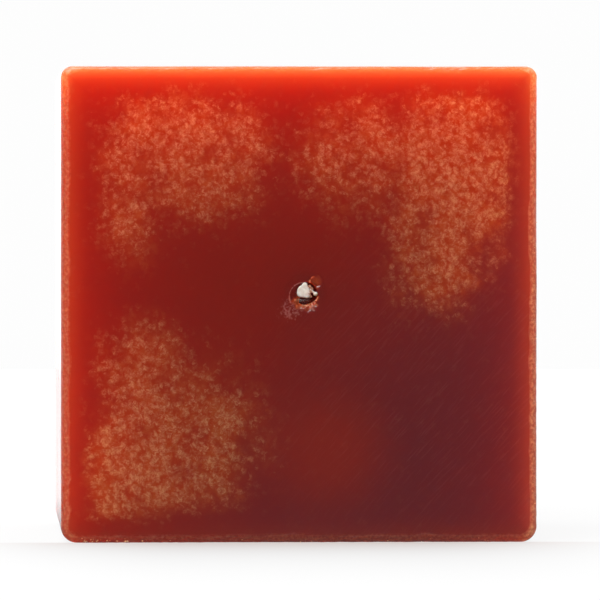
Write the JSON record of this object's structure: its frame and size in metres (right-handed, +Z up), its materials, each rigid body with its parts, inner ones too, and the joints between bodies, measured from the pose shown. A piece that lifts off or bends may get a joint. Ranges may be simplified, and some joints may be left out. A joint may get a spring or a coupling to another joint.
{
  "type": "cube candle",
  "caption": "Cast cube candle of deep red mottled wax with worn edges and a plaited cotton wick in a tapered pin hole, lying on its side with the base to the front.",
  "frame": {"origin": "centre of the side that the block rests on, halfway along its length and width", "axes": "+Z up from the resting side; +Y along the wick, from the base to the lighting end; +X to the right when looking at the base"},
  "size_m": [0.075, 0.087, 0.075],
  "materials": {
    "wax": "cast translucent wax, glossy, with rubbed edges",
    "cotton": "plaited cotton, primed with wax"
  },
  "bodies": {
    "root": {"wax_body": "wax", "wick_strand_1": "cotton", "wick_strand_2": "cotton", "wick_strand_3": "cotton", "frayed_yarn": "cotton"}
  },
  "joints": []
}
